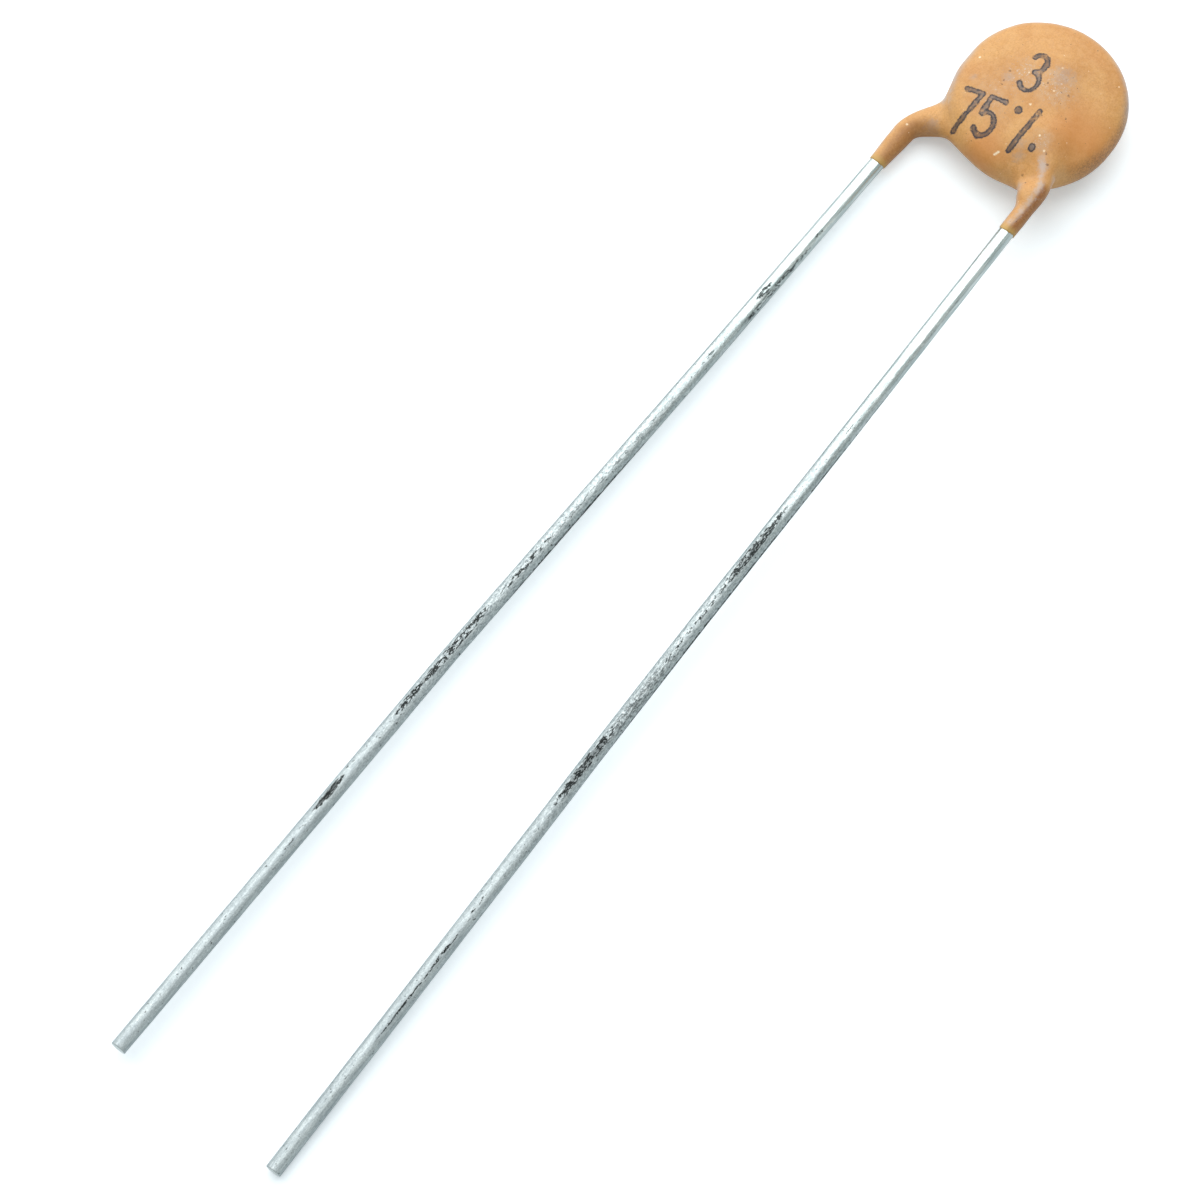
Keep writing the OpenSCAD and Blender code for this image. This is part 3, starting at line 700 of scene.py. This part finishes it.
# Coating finish: tan dip with a mottled tone, rubbed haze, smudges, browned legs partly painted as shade, a pale
# crest line that is partly a scuff and partly a painted highlight, a painted grey reflection on the rim's shoulder,
# dirt and painted shade along the rim, painted shade in deeper orange patches, specks, pits, glints, thin olive
# ends and worn ink
def coatingMaterial():
    mat, tree, shader, place = newMaterial("tan_dip_coating")
    layers = dip["layers"]

    def grain(key):
        return addGrain(tree, place, *dip["grains"][key])

    # the mesh's own distance with a strayed edge, faded out
    def spots(key):
        strayed = addMath(tree, "ADD", readValue(tree, key), addStray(tree, place, *dip["strays"][key]))
        return addRange(tree, strayed, *dip["fades"][key])

    base = addMix(tree, grain("tone"), colour(*dip["tan"]), colour(*dip["lightTan"]))
    base = lay(tree, base, grain("fine"), layers["fine"])
    base = lay(tree, base, grain("blotch"), layers["blotch"])
    # painted shade: deeper orange on the lower right of the face and between the legs
    base = lay(tree, base, readValue(tree, "deepShade"), layers["deepShade"])
    # haze rubbed into fine patches, with pale crumbs and dark smut in it
    pale = readValue(tree, "pale")
    haze = times(tree, pale, grain("haze"))
    base = lay(tree, base, haze, layers["haze"])
    for key in ("crumb", "smut"):
        base = lay(tree, base, times(tree, pale, grain(key)), layers[key])
    # grey smudges, browned sides of the legs darkened as painted shade, then the pale line along the crest over the
    # front lead, partly a scuff and partly a painted highlight
    base = lay(tree, base, spots("smudges"), layers["smudge"])
    base = lay(tree, base, times(tree, readValue(tree, "brownAndShade"), grain("brownAndShade")), layers["brownAndShade"])
    base = lay(tree, base, times(tree, spots("crestGap"), grain("crest")), layers["crest"])
    # a painted grey reflection on the shoulder of the edge, and dirt with painted shade along the rim
    base = lay(tree, base, times(tree, readValue(tree, "rim"), grain("rim")), layers["rim"])
    dirtAndShade = readValue(tree, "dirtAndShade")
    base = lay(tree, base, dirtAndShade, layers["dirtAndShade"])
    base = lay(tree, base, times(tree, dirtAndShade, grain("grit")), layers["grit"])
    # dark specks and pale glints, a few in known places and the rest sparse
    base = lay(tree, base, spots("specks"), layers["speck"])
    base = lay(tree, base, grain("pit"), layers["pit"])
    shifted = addNode(tree, "Mapping", {"Vector": place, "Location": dip["glintShift"]}).outputs[0]
    sparse = addGrain(tree, shifted, *dip["grains"]["glint"])
    base = lay(tree, base, addMath(tree, "MAXIMUM", sparse, spots("glints")), layers["glint"])
    # thin olive ends on the leads
    ends = addRange(tree, readValue(tree, "endGap"), *dip["fades"]["endGap"])
    base = lay(tree, base, ends, layers["ends"])
    # ink: dark at the edges of each line, thinner in the middle, broken by wear
    worn = readValue(tree, "inkGap")
    for key in ("inkEdge", "inkWidth"):
        worn = addMath(tree, "ADD", worn, addStray(tree, place, *dip["strays"][key]))
    half = ink["halfWidth"]
    inked = addRange(tree, worn, half - ink["edge"], half + ink["edge"], 1.0, 0.0)
    thick = addRange(tree, worn, 0.0, half * ink["thinShare"], ink["thinness"], 1.0)
    cover = times(tree, times(tree, inked, thick), grain("ink"))
    faded = times(tree, addRange(tree, worn, ink["fadeFrom"], half * ink["fadeShare"], 1.0, 0.0), pale)
    base = addMix(tree, cover, base, addMix(tree, faded, colour(*ink["black"]), colour(*ink["grey"])))
    tree.links.new(base, shader.inputs["Base Color"])
    tree.links.new(addRange(tree, haze, *dip["roughness"]), shader.inputs["Roughness"])
    for socket, value in dip["shader"].items():
        shader.inputs[socket].default_value = value
    bump = None
    for key in ("grainBump", "peelBump"):
        *noise, strength, depth = dip[key]
        bump = addBump(tree, addNoise(tree, place, *noise), strength, depth, bump)
    tree.links.new(bump, shader.inputs["Normal"])
    return mat


# Finish of the leads. Dull, grained and smooth: distances in mm from the coating's end over which that comes in.
# Noise: size in mm, detail, roughness and stretch; the rest as for the coating
tin = {
    "dull": (3.0, 24.0), "grained": (1.0, 11.0), "smooth": (20.0, 31.0),
    "streak": (0.09, 4.0, 0.65, 0.07), "island": (0.16, 4.0, 0.65, 0.32),
    "bright": ((230, 235, 234), (186, 198, 198)), "brightLevels": (0.35, 0.65),
    "grey": ((222, 229, 230), (134, 144, 148)),
    "drawn": ((220, 227, 228), (178, 187, 191)), "drawnLevels": (0.3, 0.7), "drawnShare": 0.7,
    "grains": {
        "speck": (0.06, 4.0, 0.75, 0.35, 0.7, 0.0, 1.0, 0.5), "grit": (0.03, 2.0, 0.6, 0.3, 0.7, 0.0, 1.0, 0.7),
        "fleck": (0.06, 3.0, 0.65, 0.52, 0.62, 0.0, 1.0, 0.4), "dot": (0.09, 2.0, 0.6, 0.62, 0.72, 0.0, 1.0, 0.6),
    },
    "layers": {"speck": (150, 162, 164, 0.7), "grit": (112, 122, 128, 0.35), "cut": (240, 244, 244, 1),
               "scuffAndShade": (42, 46, 46, 1)},
    "islandMiddle": 0.5, "outline": (0.015, 0.06, 1.0, 0.0), "solidFrom": 0.95, "solidShare": 0.55,
    "dotShare": 0.45, "scuffAndShadeRange": (0.08, 0.6, 0.0, 0.95),
    "brightRough": 0.2, "dullRough": 0.38, "scuffAndShadeRough": 0.15,
    "drawnBump": (0.5, 0.014), "pitBump": 0.4, "smootherBy": 0.22, "pitDepth": 0.01, "scarBump": (0.5, 0.03),
}


# Lead finish: bright drawn tin near the coating, duller, speckled and gritty farther out, smoother again towards
# the pale cut tips, with dark outlined scuffs, flecks and dots, and a painted dark reflection line along the lower
# side
def leadMaterial():
    mat, tree, shader, place = newMaterial("tinned_wire")
    layers = tin["layers"]

    def grain(key):
        return addGrain(tree, place, *tin["grains"][key])

    def between(share, key):
        return addMix(tree, share, *[colour(*tint) for tint in tin[key]])

    along = readValue(tree, "along")
    dull, grained, smooth = [addRange(tree, along, *tin[key]) for key in ("dull", "grained", "smooth")]
    streak, island = [addNoise(tree, place, *tin[key]) for key in ("streak", "island")]
    speck = grain("speck")
    bright = between(addRange(tree, streak, *tin["brightLevels"]), "bright")
    bright = lay(tree, bright, times(tree, grained, speck), layers["speck"])
    drawn = between(addRange(tree, streak, *tin["drawnLevels"]), "drawn")
    grey = addMix(tree, times(tree, smooth, tin["drawnShare"]), between(speck, "grey"), drawn)
    base = addMix(tree, dull, bright, grey)
    base = lay(tree, base, times(tree, grain("grit"), grained), layers["grit"])
    base = lay(tree, base, readValue(tree, "cut"), layers["cut"])
    # scuffs show as the outlines of small islands, with dark flecks between them, and are solid where strongest, as
    # is the painted dark reflection line on the lower side
    mark = readValue(tree, "mark")
    fromMiddle = addMath(tree, "ABSOLUTE", addMath(tree, "SUBTRACT", island, tin["islandMiddle"]), 0.0)
    outline = addRange(tree, fromMiddle, *tin["outline"])
    scuffAndShade = times(tree, mark, addMath(tree, "MAXIMUM", outline, grain("fleck")))
    solid = times(tree, addMath(tree, "SUBTRACT", mark, tin["solidFrom"]), tin["solidShare"])
    dots = times(tree, grain("dot"), times(tree, grained, tin["dotShare"]))
    for more in (solid, dots):
        scuffAndShade = addMath(tree, "MAXIMUM", scuffAndShade, more)
    base = lay(tree, base, addRange(tree, scuffAndShade, *tin["scuffAndShadeRange"]), layers["scuffAndShade"])
    tree.links.new(base, shader.inputs["Base Color"])
    shader.inputs["Metallic"].default_value = 1.0
    rough = addMath(tree, "ADD", times(tree, dull, tin["dullRough"]), tin["brightRough"])
    rough = addMath(tree, "ADD", rough, times(tree, scuffAndShade, tin["scuffAndShadeRough"]))
    tree.links.new(rough, shader.inputs["Roughness"])
    lines = addBump(tree, streak, *tin["drawnBump"])
    pitting = times(tree, grained, tin["pitBump"])
    pitting = addMath(tree, "SUBTRACT", pitting, times(tree, smooth, tin["smootherBy"]))
    pitted = addBump(tree, speck, pitting, tin["pitDepth"], lines)
    strength, depth = tin["scarBump"]
    scarred = addBump(tree, island, times(tree, mark, strength), depth, pitted)
    tree.links.new(scarred, shader.inputs["Normal"])
    return mat


# Finishes of the pieces inside the coating
plain = {"detail": 4.0, "grainRough": 0.6, "levels": (0.3, 0.7), "roughSpread": 0.08, "bump": 0.4}
inside = {
    "fired_ceramic": {"light": (232, 224, 206), "dark": (214, 203, 182), "grain": 0.08, "rough": 0.6,
                      "metallic": 0.0, "depth": 0.006, "nodes": ("ceramic_disc",)},
    "fired_silver": {"light": (214, 214, 210), "dark": (186, 186, 182), "grain": 0.05, "rough": 0.45,
                     "metallic": 1.0, "depth": 0.004, "nodes": ("front_electrode", "rear_electrode")},
    "dull_solder": {"light": (178, 181, 185), "dark": (140, 143, 148), "grain": 0.12, "rough": 0.4,
                    "metallic": 1.0, "depth": 0.01, "nodes": ("front_solder", "rear_solder")},
}


# One fine noise gives the tone, the roughness and the bump
def plainMaterial(name, finish):
    mat, tree, shader, place = newMaterial(name)
    grain = addNoise(tree, place, finish["grain"], plain["detail"], plain["grainRough"])
    tone = addRange(tree, grain, *plain["levels"])
    tint = addMix(tree, tone, colour(*finish["light"]), colour(*finish["dark"]))
    smoothest, roughest = finish["rough"] - plain["roughSpread"], finish["rough"] + plain["roughSpread"]
    rough = addRange(tree, grain, *plain["levels"], smoothest, roughest)
    tree.links.new(tint, shader.inputs["Base Color"])
    tree.links.new(rough, shader.inputs["Roughness"])
    shader.inputs["Metallic"].default_value = finish["metallic"]
    tree.links.new(addBump(tree, grain, plain["bump"], finish["depth"]), shader.inputs["Normal"])
    return mat


coating.data.materials.append(coatingMaterial())
tinned = leadMaterial()
for piece in wires.values():
    piece.data.materials.append(tinned)
for name, finish in inside.items():
    mat = plainMaterial(name, finish)
    for node in finish["nodes"]:
        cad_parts[node].data.materials.clear()
        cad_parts[node].data.materials.append(mat)
print("materials set")

for piece, node, slot in ((coating, "coating", "coating"), (wires["front"], "front_lead", "lead"),
                          (wires["rear"], "rear_lead", "lead")):
    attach(piece, "root")
    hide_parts(node)


# Floor, light and camera, in metres apart from the camera's place, which is in mm from the disc's axis
studio = {
    "floorSize": 1.6, "floorGlow": 0.3, "floorInMetal": 0.78,
    "paper": (0.9, 0.92, 0.93, 1), "paperInMetal": (0.9, 0.94, 0.94), "glowTint": (0.93, 0.98, 1.0, 1),
    "keyFrom": (0.45, 0.38, 0.81), "keyDistance": 0.3, "keySize": 0.5, "keyPower": 1.35,
    "cardFrom": (0.3, 0.95, 0.22), "cardDistance": 0.35, "cardSize": 0.3, "cardPower": 0.22,
    "skyTint": (0.77, 0.91, 0.97, 1.0), "metalTint": (0.93, 1.0, 0.98, 1.0), "seenTint": (1, 1, 1, 1),
    "skyStrength": 0.48, "skyInMetal": 0.62,
    "cameraFromDisc": (-60.383, -27.497, 122.13), "lens": 119.4, "sensor": 36.0, "clipStart": 0.01,
    "cameraRight": (0.60998, -0.79242, 0.0), "cameraUp": (0.73979, 0.56947, 0.35837),
}


# White paper that keeps its shadows, a little brighter to the camera and dimmer in the metal
def addFloor():
    half = studio["floorSize"] / 2
    mesh = bpy.data.meshes.new("floor")
    corners = [(-half, -half, 0), (half, -half, 0), (half, half, 0), (-half, half, 0)]
    mesh.from_pydata(corners, [], [(0, 1, 2, 3)])
    floor = bpy.data.objects.new("floor", mesh)
    bpy.context.scene.collection.objects.link(floor)
    mat = bpy.data.materials.new("white_paper")
    mat.use_nodes = True
    tree = mat.node_tree
    tree.nodes.clear()
    seen = addNode(tree, "LightPath")
    dimmed = [c * studio["floorInMetal"] for c in studio["paperInMetal"]]
    tone = addMix(tree, seen.outputs["Is Glossy Ray"], studio["paper"], (*dimmed, 1))
    paper = addNode(tree, "BsdfDiffuse", {"Color": tone}).outputs[0]
    strength = times(tree, seen.outputs["Is Camera Ray"], studio["floorGlow"])
    glow = addNode(tree, "Emission", {"Color": studio["glowTint"], "Strength": strength}).outputs[0]
    both = addNode(tree, "AddShader", {0: paper, 1: glow}).outputs[0]
    addNode(tree, "OutputMaterial", {"Surface": both})
    mesh.materials.append(mat)


# Even light from all round, white to the camera and a little brighter in the metal
def addSky():
    world = bpy.data.worlds.new("studio_sky")
    bpy.context.scene.world = world
    world.use_nodes = True
    tree = world.node_tree
    tree.nodes.clear()
    seen = addNode(tree, "LightPath")
    inMetal, inView = seen.outputs["Is Glossy Ray"], seen.outputs["Is Camera Ray"]
    mirrored = addRange(tree, inMetal, 0.0, 1.0, studio["skyStrength"], studio["skyInMetal"])
    strength = addMath(tree, "MAXIMUM", mirrored, inView)
    tint = addMix(tree, inMetal, studio["skyTint"], studio["metalTint"])
    tint = addMix(tree, inView, tint, studio["seenTint"])
    sky = addNode(tree, "Background", {"Color": tint, "Strength": strength}).outputs[0]
    addNode(tree, "OutputWorld", {"Surface": sky})


# A square lamp that looks at the origin from its own direction and distance
def addPanel(name):
    data = bpy.data.lights.new(name, "AREA")
    data.shape = "SQUARE"
    data.size = studio[name + "Size"]
    data.energy = studio[name + "Power"]
    lamp = bpy.data.objects.new(name, data)
    bpy.context.scene.collection.objects.link(lamp)
    way = Vector(studio[name + "From"]).normalized()
    lamp.location = way * studio[name + "Distance"]
    lamp.rotation_euler = way.to_track_quat("Z", "Y").to_euler()


# The camera's turn has its right, its up and their cross product as columns
def addCamera():
    data = bpy.data.cameras.new("camera")
    data.lens = studio["lens"]
    data.sensor_width = studio["sensor"]
    data.clip_start = studio["clipStart"]
    camera = bpy.data.objects.new("camera", data)
    bpy.context.scene.collection.objects.link(camera)
    right, up = Vector(studio["cameraRight"]).normalized(), Vector(studio["cameraUp"]).normalized()
    turn = Matrix((right, up, right.cross(up))).transposed()
    place = Vector((axisPlace + np.array(studio["cameraFromDisc"])) * mm)
    camera.matrix_world = Matrix.Translation(place) @ turn.to_4x4()
    bpy.context.scene.camera = camera


addFloor()
addSky()
addPanel("key")
addPanel("card")
addCamera()
bpy.context.scene.view_settings.view_transform = "Standard"
print("studio set")
